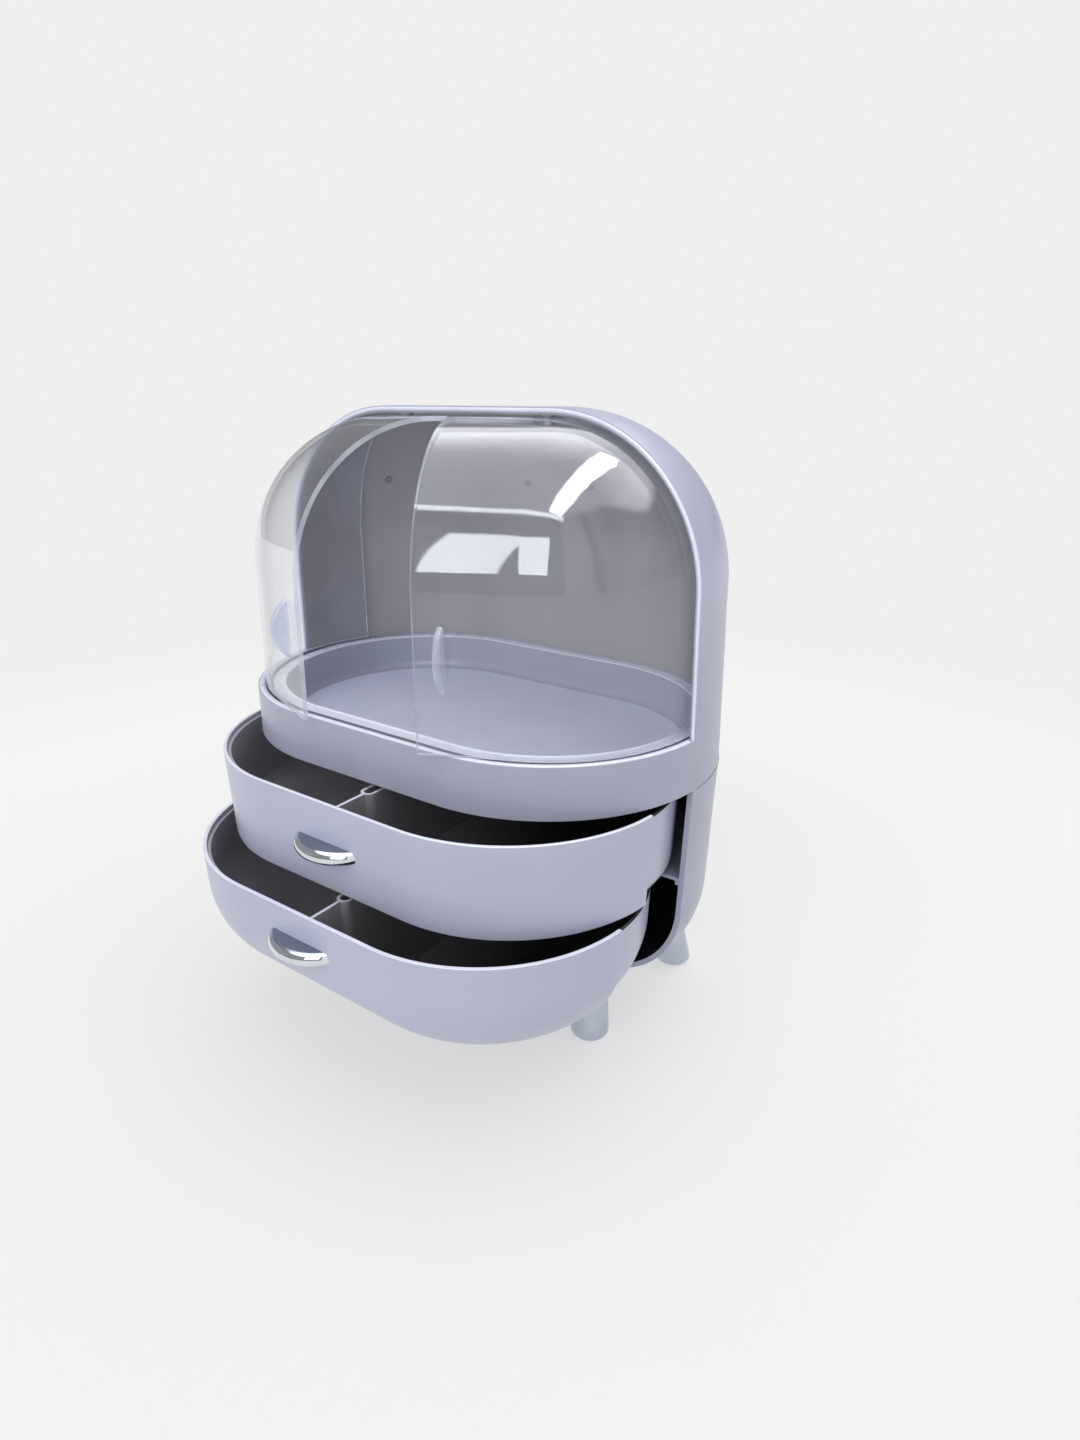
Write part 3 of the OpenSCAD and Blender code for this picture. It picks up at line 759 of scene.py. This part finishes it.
def sweep_bead(name, points, half_width, half_height, material, closed=False):
    """A bead of the body along a path: an oval ring swept by Geometry Nodes."""
    piece = add_object(name, mesh_path(points, closed))
    bead = Shaper(f"{name}_sweep", ("Half width", "Half height"))
    path = bead.add("GeometryNodeMeshToCurve", {"Mesh": bead.given["Geometry"]})[0]
    ring = bead.add("GeometryNodeCurvePrimitiveCircle", {"Resolution": 12, "Radius": 1.0})[0]
    halves = {"X": bead.given["Half width"], "Y": bead.given["Half height"], "Z": 1.0}
    scale = bead.add("ShaderNodeCombineXYZ", halves)[0]
    oval = bead.add("GeometryNodeTransform", {"Geometry": ring, "Scale": scale})[0]
    ends = {"Curve": path, "Profile Curve": oval, "Fill Caps": True}
    swept = bead.add("GeometryNodeCurveToMesh", ends)[0]
    values = {"Half width": half_width, "Half height": half_height}
    made = bead.make(swept, piece, values, material)
    whole = bmesh.new()
    whole.from_mesh(made)
    bmesh.ops.remove_doubles(whole, verts=whole.verts, dist=1e-7)
    bmesh.ops.recalc_face_normals(whole, faces=whole.faces)
    smooth(whole, 60.0)
    whole.to_mesh(made)
    whole.free()
    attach(piece, "organizer")


# ---- operators ----


class ORGANIZER_OT_coat_nodes(bpy.types.Operator):
    """Gives each CAD node that stays in view its finish"""

    bl_idname = "organizer.coat_nodes"
    bl_label = "Coat the CAD nodes"

    def execute(self, context):
        finishes = {
            "body_satin": ("upper_body", "drawer_shelf"),
            "hood_lining": ("hood_liner",),
            "button_grey": ("liner_buttons",),
            "pin_steel": (
                "body_screws", "left_pivot_pin", "right_pivot_pin", "shelf_rails", "floor_rails",
                "top_pull_screws", "bottom_pull_screws",
            ),
        }
        for name, nodes in finishes.items():
            for node in nodes:
                coat_node(node, name)
        return {"FINISHED"}


class ORGANIZER_OT_doors(bpy.types.Operator):
    """Makes the clear doors and their handles, with painted highlights on their cut edges"""

    bl_idname = "organizer.doors"
    bl_label = "Clear doors"

    def execute(self, context):
        for side in ("left", "right"):
            for part, sheet, rim, widest in (
                ("door", "door_clear", "door_edge", 0.004),
                ("door_handle", "handle_clear", "handle_edge", 0.00002),
            ):
                node = f"{side}_{part}"
                work = copy_of_node(node)
                for region in faces_by_region(work):
                    area = sum(face.calc_area() for face in region)
                    turned = sum((f.normal * f.calc_area() for f in region), Vector())
                    thin = area < widest or part == "door_handle" and turned.length < 0.95 * area
                    for face in region:
                        # thin regions take the cut edges' painted highlight
                        face.material_index = 1 if thin else 0
                add_piece(
                    f"{node}_clear", work, (sheet, rim), f"{side}_door", node
                )
        return {"FINISHED"}


class ORGANIZER_OT_drawer_fronts(bpy.types.Operator):
    """Makes the two drawer fronts with rounded edges, painted highlights on their top and end
    faces and painted shade on their inner faces
    """

    bl_idname = "organizer.drawer_fronts"
    bl_label = "Drawer fronts"

    def execute(self, context):
        sizes, fronts = body_sizes(), context.scene.organizer_front
        cut_y = sizes.rim_y - fronts.end_gap
        low_r = sizes.centre_y - cut_y
        outlines = {
            "top_drawer": wall_outline(fronts.inset, fronts.top_low, fronts.top_high, sizes),
            "bottom_drawer": belly_outline(fronts.inset, low_r, fronts.bottom_high, sizes),
        }
        for drawer, outline in outlines.items():
            slid_out = cut_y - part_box(f"{drawer}_front")[1][1]
            work = front_sheet(outline, cut_y, sizes)
            bmesh.ops.translate(work, verts=work.verts, vec=(0.0, -slid_out, 0.0))
            piece = add_piece(
                f"{drawer}_front_rounded", work, ("shell_satin", "shell_edge", "drawer_inside"),
                drawer, f"{drawer}_front",
            )
            finish_shell(piece, fronts.thickness, fronts.edge)
            end_y = cut_y - slid_out - fronts.edge
            axis = Vector((0.0, sizes.centre_y - slid_out, 0.0))
            # inner faces take the drawers' inside finish as painted shade; top and end faces take
            # the painted highlight
            for face in piece.data.polygons:
                out = face.center - axis
                out.x = math.copysign(max(0.0, abs(out.x) - sizes.flat_half), out.x)
                inward = Vector((out.x, out.y, 0.0)).dot(face.normal) < 0
                at_end = face.center.y > end_y and face.normal.y > 0.2
                if inward:
                    face.material_index = 2
                if face.normal.z > 0.5 or at_end:
                    face.material_index = 1
        return {"FINISHED"}


class ORGANIZER_OT_drawer_boxes(bpy.types.Operator):
    """Makes the two drawer boxes with unpolished insides and rims that carry painted shade"""

    bl_idname = "organizer.drawer_boxes"
    bl_label = "Drawer boxes"

    def execute(self, context):
        finishes = ("shell_satin", "drawer_inside")
        for drawer in DRAWERS:
            add_lined(f"{drawer}_box", drawer, finishes, mark_hollow, True)
        return {"FINISHED"}


class ORGANIZER_OT_housing(bpy.types.Operator):
    """Makes the lower housing with painted shade inside it and low on its outside"""

    bl_idname = "organizer.housing"
    bl_label = "Lower housing"

    def execute(self, context):
        finishes = ("body_satin", "housing_inside")
        add_lined("lower_housing", "organizer", finishes, mark_hollow, False)
        return {"FINISHED"}


class ORGANIZER_OT_dividers(bpy.types.Operator):
    """Makes the drawers' dividers with a painted highlight on their upper edges and painted shade
    on the rest
    """

    bl_idname = "organizer.dividers"
    bl_label = "Dividers"

    def execute(self, context):
        finishes = ("drawer_inside", "shell_edge")
        for drawer in DRAWERS:
            add_lined(f"{drawer}_divider", drawer, finishes, mark_upward, 0)
        return {"FINISHED"}


class ORGANIZER_OT_tray(bpy.types.Operator):
    """Makes the tray with a painted highlight on its rim and painted light on its floor"""

    bl_idname = "organizer.tray"
    bl_label = "Tray"

    def execute(self, context):
        finishes = ("tray_satin", "shell_edge", "tray_floor")
        add_lined("display_tray", "organizer", finishes, mark_upward, 2)
        return {"FINISHED"}


class ORGANIZER_OT_pulls(bpy.types.Operator):
    """Makes the plated pulls with rougher tops, darkened as a painted reflection"""

    bl_idname = "organizer.pulls"
    bl_label = "Pulls"

    def execute(self, context):
        finishes = ("pull_chrome", "pull_flat")
        for drawer in DRAWERS:
            add_lined(f"{drawer}_pull", drawer, finishes, mark_upward, 0)
        return {"FINISHED"}


class ORGANIZER_OT_feet(bpy.types.Operator):
    """Casts the four leaning feet with smooth sides"""

    bl_idname = "organizer.feet"
    bl_label = "Cast feet"

    def execute(self, context):
        feet, sizes = context.scene.organizer_feet, body_sizes()
        for rear in (False, True):
            for side in (-1, 1):
                far = feet.rear_x if rear else feet.front_x
                along = feet.rear_y if rear else -feet.front_y
                lean_in = feet.rear_in if rear else feet.front_in
                lean_y = -feet.rear_fore if rear else feet.front_back
                low = Vector((side * far, sizes.rim_y + along, 0.0))
                lean = Vector((-side * lean_in, lean_y, feet.top_z))
                work = self.cast(low, lean, feet, sizes)
                name = f"{'rear' if rear else 'front'}_{'left' if side < 0 else 'right'}_foot"
                add_piece(f"{name}_cast", work, ("foot_chrome",), "organizer", name)
        return {"FINISHED"}

    def cast(self, low, lean, feet, sizes):
        """One foot: flat sole, rounded edge and a leaning cone that ends on the belly."""
        work, turns = bmesh.new(), [math.tau * i / feet.sides for i in range(feet.sides)]
        sole_r = feet.floor_r - feet.edge
        rings, made = [(0.0, sole_r)], []
        for i in range(1, 9):
            a = math.radians(-90 + 11.0 * i)
            rings.append((feet.edge * (1 + math.sin(a)), sole_r + feet.edge * math.cos(a)))
        for z, r in rings:
            ring = [low + Vector((r * math.cos(t), r * math.sin(t), z)) for t in turns]
            made.append([work.verts.new(point) for point in ring])
        base_z, base_r = rings[-1]

        def along(t, share):
            """Point of the cone's side at a share of its length."""
            r = base_r + (feet.top_r - base_r) * share
            z = base_z + (feet.top_z - base_z) * share
            middle = low + lean * share
            return Vector((middle.x + r * math.cos(t), middle.y + r * math.sin(t), z))

        def reach(t):
            """Share of the cone's length at which it is just inside the belly's wall."""
            near, far = 0.0, 1.0
            for _ in range(24):
                share = (near + far) / 2
                if self.under_belly(along(t, share), sizes):
                    near = share
                else:
                    far = share
            return near

        reaches = [reach(t) for t in turns]
        steps = 14
        for i in range(1, steps + 1):
            ring = [along(t, i / steps * share) for t, share in zip(turns, reaches)]
            made.append([work.verts.new(point) for point in ring])
        for below, above in zip(made, made[1:]):
            for i, vert in enumerate(below):
                j = (i + 1) % len(below)
                work.faces.new((vert, below[j], above[j], above[i]))
        work.faces.new(list(reversed(made[0])))
        work.faces.new(made[-1])
        smooth(work, 40.0)
        return work

    def under_belly(self, point, sizes):
        """Whether a point lies outside the body, or less than the bite inside."""
        r, arc_z = belly_arc(sizes)
        x = max(0.0, abs(point.x) - sizes.flat_half)
        radius = math.hypot(x, point.y - sizes.centre_y)
        depth = r - math.hypot(max(0.0, radius - sizes.belly_flat), arc_z - point.z)
        return depth < FOOT_BITE


class ORGANIZER_OT_trims(bpy.types.Operator):
    """Runs beads with a painted highlight along the hood's rim, the band's lip and the tray, and
    marks the seam with a painted shadow line
    """

    bl_idname = "organizer.trims"
    bl_label = "Edge beads and seam"

    def execute(self, context):
        sizes, trim = body_sizes(), context.scene.organizer_trim
        rim, bead = self.hood_rim(sizes, trim), trim.hood_bead
        # the beads carry the painted highlight of lit edges
        sweep_bead("hood_rim_bead", rim, bead, bead, "shell_edge")
        draft = (sizes.rim_z - sizes.seam_z) * math.tan(sizes.hood_draft)
        lip_r = sizes.body_r - draft - trim.band_wall / 2
        lip_end = sizes.rim_y - trim.lip_end
        lip = self.oval(lip_r, sizes.rim_z, sizes, sizes.centre_y, lip_end)
        half_lip = trim.band_wall / 2 - trim.lip_edge
        sweep_bead("band_lip_bead", lip, half_lip, trim.band_bead, "shell_edge")
        bead = trim.tray_bead
        tray = self.oval(trim.tray_wall_r + bead, trim.tray_top, sizes, trim.tray_y, None)
        sweep_bead("tray_edge_bead", tray, bead, bead, "shell_edge", True)
        seam = self.oval(sizes.body_r, sizes.seam_z, sizes, sizes.centre_y, sizes.rim_y, True)
        sweep_bead("seam_line", seam, trim.seam_line, trim.seam_line, "seam_shadow")
        return {"FINISHED"}

    def hood_rim(self, sizes, trim):
        """Middle line of the hood's front rim, from the band up and over."""
        inset, y = trim.hood_wall / 2, sizes.rim_y
        deep = sizes.centre_y - y
        roof_r, roof_z = roof_arc(sizes)
        arc_x, r, half = sizes.roof_flat, roof_r - inset, []
        wall_top = roof_z + r * math.sin(sizes.hood_draft)
        wall_r = arc_x + r * math.cos(sizes.hood_draft)
        for i in range(6):
            z = sizes.rim_z + (wall_top - sizes.rim_z) * i / 6
            half.append((wall_r + (wall_top - z) * math.tan(sizes.hood_draft), z))
        for i in range(33):
            a = sizes.hood_draft + (math.radians(90) - sizes.hood_draft) * i / 32
            half.append((arc_x + r * math.cos(a), roof_z + r * math.sin(a)))
        right = [
            (sizes.flat_half + math.sqrt(radius**2 - deep**2), z)
            for radius, z in half if radius > deep
        ]
        points = right + [(sizes.flat_half, sizes.body_h - inset)]
        points += [(-x, z) for x, z in reversed(points)]
        return [Vector((x, y, z)) for x, z in points]

    def oval(self, radius, z, sizes, centre_y, cut_y, back=False):
        """Path round the plan: whole, or only its front or back part up to a plane."""
        right = []
        for i in range(OVAL_STEPS + 1):
            a = math.pi * i / OVAL_STEPS
            x = sizes.flat_half + radius * math.sin(a)
            right.append(Vector((x, centre_y - radius * math.cos(a), z)))
        if cut_y is not None:
            right = [p for p in right if (p.y > cut_y) == back]
        left = [Vector((-p.x, p.y, p.z)) for p in reversed(right)]
        return right + left if back or cut_y is None else left + right


class ORGANIZER_OT_screw_slots(bpy.types.Operator):
    """Marks a cross of painted shadow in the head of each screw inside the drawers"""

    bl_idname = "organizer.screw_slots"
    bl_label = "Screw crosses"

    def execute(self, context):
        for drawer in ("top", "bottom"):
            low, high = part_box(f"{drawer}_pull_screws")
            height = high[2] - low[2]
            reach = (high[0] - low[0] - height) / 2
            points = [(side * reach, high[1], (low[2] + high[2]) / 2) for side in (-1, 1)]
            piece = add_object(f"{drawer}_screw_crosses", mesh_path(points))
            self.scatter(piece, height * 0.3)
            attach(piece, f"{drawer}_drawer")
        return {"FINISHED"}

    def scatter(self, piece, arm):
        """Cross of two low bars on each of a piece's points, by Geometry Nodes."""
        cross = Shaper(f"{piece.name}_tree", ("Arm",))
        given = Signal(cross.tree, cross.given["Arm"])
        joined = add_node(cross.tree, "GeometryNodeJoinGeometry")
        for shares in ((2.0, 0.35, 0.35), (0.35, 0.35, 2.0)):
            sides = {axis: given * share for axis, share in enumerate(shares)}
            size = cross.add("ShaderNodeCombineXYZ", sides)[0]
            bar = cross.add("GeometryNodeMeshCube", {"Size": size})[0]
            cross.tree.links.new(bar, joined.inputs[0])
        spread = {"Points": cross.given["Geometry"], "Instance": joined.outputs[0]}
        crosses = cross.add("GeometryNodeInstanceOnPoints", spread)[0]
        cross.make(crosses, piece, {"Arm": arm}, "seam_shadow")


class ORGANIZER_OT_studio(bpy.types.Operator):
    """Sets up the pale floor, the soft light and the camera"""

    bl_idname = "organizer.studio"
    bl_label = "Studio"

    # azimuth and elevation in degrees, distance, width, height, and the property of its radiance
    panels = {
        "left_pane": (12.4, 29.0, 1.6, 0.19, 0.72, "window"),
        "right_pane": (27.2, 29.0, 1.6, 0.48, 0.72, "window"),
        "strip": (15.0, 58.0, 1.4, 1.1, 0.05, "strip"),
        "beam": (105.0, 72.0, 1.4, 1.5, 0.22, "beam"),
    }
    # direction towards the lamp, and the angle that it fills in degrees
    suns = {"top": ((0.2, 0.15, 1.0), 70.0), "front": ((0.0, -1.0, 0.55), 50.0)}

    def execute(self, context):
        studio = context.scene.organizer_studio
        self.make_world(studio)
        self.make_floor()
        for name, place in self.panels.items():
            self.add_panel(name, studio, *place)
        for name, (towards, spread) in self.suns.items():
            self.add_sun(name, towards, spread, getattr(studio, name))
        self.add_camera(context, studio)
        context.scene.view_settings.view_transform = "Standard"
        return {"FINISHED"}

    def pale_rays(self, start):
        """1 for rays that should see the pale backdrop, 0 for those that light the object."""
        kinds = ("Is Camera Ray", "Is Glossy Ray", "Is Transmission Ray")
        camera, glossy, through = (
            start.node("ShaderNodeLightPath", output=kind) for kind in kinds
        )
        return camera.most(glossy).most(through)

    def room_level(self, start, studio):
        """Brightness of the room that reflections show, by direction."""
        turned = start.sum("ARCTAN2", start.part(0), -start.part(1))
        behind, up = start.part(1).ramp(0.0, 0.5), start.part(2)
        clouds = start.node("ShaderNodeTexNoise", {"Vector": start, "Scale": 2.2, "Detail": 2.0})
        ceiling = (up + 0.2 * behind).ramp(0.78, 0.86) * (1.0 + 0.6 * behind)
        ceiling = ceiling * studio.ceiling * (0.55 + 0.9 * clouds)
        near_wall = turned.ramp(0.76, 0.82) * turned.ramp(1.15, 1.1)
        far_wall = turned.ramp(1.22, 1.27) * turned.ramp(2.4, 2.0) * (0.4 + 1.2 * clouds)
        walls = studio.room * (0.5 + clouds) + near_wall * 0.6 + far_wall * 0.35
        return walls * up.ramp(0.86, 0.78) + ceiling

    def make_world(self, studio):
        world = bpy.data.worlds.new("studio")
        world.use_nodes = True
        tree = world.node_tree
        tree.nodes.clear()
        start = Signal(tree, add_node(tree, "ShaderNodeTexCoord").outputs["Generated"])
        level = self.room_level(start, studio)
        room = start.node("ShaderNodeCombineXYZ", {0: level, 1: level, 2: level * 1.04})
        ambient = (studio.ambient,) * 3
        seen = self.pale_rays(start).blend(rgba(ambient), rgba(colours().backdrop))
        seen = start.node("ShaderNodeLightPath", output="Is Glossy Ray").blend(seen, room)
        shown = start.node("ShaderNodeBackground", {"Color": seen, "Strength": 1.0})
        add_node(tree, "ShaderNodeOutputWorld", {"Surface": shown})
        bpy.context.scene.world = world

    def make_floor(self):
        """Plain floor: lit, with the object's shadow, and even in the distance."""
        work, reach, tones = bmesh.new(), 30.0, colours()
        corners = [(-reach, -reach), (reach, -reach), (reach, reach), (-reach, reach)]
        work.faces.new([work.verts.new((x, y, -FLOOR_DROP)) for x, y in corners])
        floor = add_object("floor", work)
        made = Finish("pale_floor")
        cloud = made.noise(3.0, 2.0)
        made.put(
            Base_Color=cloud.blend(rgba(tones.backdrop, 0.79), rgba(tones.backdrop, 0.81)),
            Roughness=0.9 + 0.05 * cloud,
            Specular_IOR_Level=0.0,
        )
        coords = made.coords
        away = coords.node("ShaderNodeVectorMath", {0: coords}, 1, operation="LENGTH")
        even = away.ramp(0.3, 1.0, tones.floor_glow, 1.0)
        lifted = (*(tones.floor_lift * c for c in tones.backdrop), 1.0)
        glow = {"Color": away.ramp(0.3, 1.0).blend(lifted, rgba(tones.backdrop)), "Strength": 1.0}
        both = {
            0: self.pale_rays(coords) * even,
            1: made.shader.outputs[0],
            2: coords.node("ShaderNodeEmission", glow),
        }
        made.show(coords.node("ShaderNodeMixShader", both))
        floor.data.materials.append(made.material)

    def add_panel(self, name, studio, azimuth, elevation, distance, width, height, level):
        """A panel that only shows in reflections."""
        azimuth, elevation = math.radians(azimuth), math.radians(elevation)
        lamp = bpy.data.lights.new(name, "AREA")
        lamp.shape = "RECTANGLE"
        lamp.size, lamp.size_y = width, height
        lamp.energy = getattr(studio, level) * math.pi * width * height
        lamp.color = studio.daylight
        panel = bpy.data.objects.new(name, lamp)
        panel.visible_diffuse = False
        towards = self.direction(azimuth, elevation)
        panel.location = Vector((0.0, 0.0, 0.2)) + distance * towards
        self.aim(panel, towards)

    def add_sun(self, name, towards, spread, strength):
        """Soft light from a direction, left out of reflections."""
        lamp = bpy.data.lights.new(name, "SUN")
        lamp.energy = strength
        lamp.angle = math.radians(spread)
        sun = bpy.data.objects.new(name, lamp)
        sun.visible_glossy = False
        self.aim(sun, Vector(towards))

    def add_camera(self, context, studio):
        camera = bpy.data.objects.new("camera", bpy.data.cameras.new("camera"))
        camera.data.lens = studio.lens
        camera.data.sensor_width = 36.0
        camera.data.clip_start = 0.01
        camera.location = studio.camera
        self.aim(camera, self.direction(studio.azimuth, studio.pitch))
        context.scene.camera = camera

    def direction(self, azimuth, elevation):
        """Direction at an azimuth from straight ahead and an elevation."""
        level = math.cos(elevation)
        return Vector((
            math.sin(azimuth) * level, -math.cos(azimuth) * level, math.sin(elevation)
        ))

    def aim(self, thing, towards):
        """Turns a lamp or camera that stands in a direction back to the middle, and adds it."""
        thing.rotation_euler = (-towards).to_track_quat("-Z", "Y").to_euler()
        bpy.context.scene.collection.objects.link(thing)


class ORGANIZER_PT_panel(bpy.types.Panel):
    """Lists the operators and the sizes"""

    bl_idname = "ORGANIZER_PT_panel"
    bl_label = "Makeup organizer"
    bl_space_type = "VIEW_3D"
    bl_region_type = "UI"
    bl_category = "Organizer"

    def draw(self, context):
        for operator in OPERATORS:
            self.layout.operator(operator.bl_idname)
        for name, group in SIZES.items():
            box = self.layout.box()
            box.label(text=group.__name__)
            for key in group.__annotations__:
                box.prop(getattr(context.scene, name), key)


SIZES = {
    "organizer_body": BodySizes,
    "organizer_front": FrontSizes,
    "organizer_feet": FootSizes,
    "organizer_trim": TrimSizes,
    "organizer_finish": FinishColours,
    "organizer_studio": StudioSizes,
}
OPERATORS = (
    ORGANIZER_OT_coat_nodes,
    ORGANIZER_OT_doors,
    ORGANIZER_OT_drawer_fronts,
    ORGANIZER_OT_drawer_boxes,
    ORGANIZER_OT_housing,
    ORGANIZER_OT_dividers,
    ORGANIZER_OT_tray,
    ORGANIZER_OT_pulls,
    ORGANIZER_OT_feet,
    ORGANIZER_OT_trims,
    ORGANIZER_OT_screw_slots,
    ORGANIZER_OT_studio,
)


def register():
    for group in SIZES.values():
        bpy.utils.register_class(group)
    for kind in (*OPERATORS, ORGANIZER_PT_panel):
        bpy.utils.register_class(kind)
    for name, group in SIZES.items():
        setattr(bpy.types.Scene, name, PointerProperty(type=group))


def unregister():
    for name in SIZES:
        delattr(bpy.types.Scene, name)
    for kind in (ORGANIZER_PT_panel, *reversed(OPERATORS), *reversed(list(SIZES.values()))):
        bpy.utils.unregister_class(kind)


def main():
    register()
    bpy.ops.organizer.coat_nodes()
    bpy.ops.organizer.doors()
    bpy.ops.organizer.drawer_fronts()
    bpy.ops.organizer.drawer_boxes()
    bpy.ops.organizer.housing()
    bpy.ops.organizer.dividers()
    bpy.ops.organizer.tray()
    bpy.ops.organizer.pulls()
    bpy.ops.organizer.feet()
    bpy.ops.organizer.trims()
    bpy.ops.organizer.screw_slots()
    bpy.ops.organizer.studio()
    bpy.context.view_layer.update()


if __name__ == "__main__":
    main()
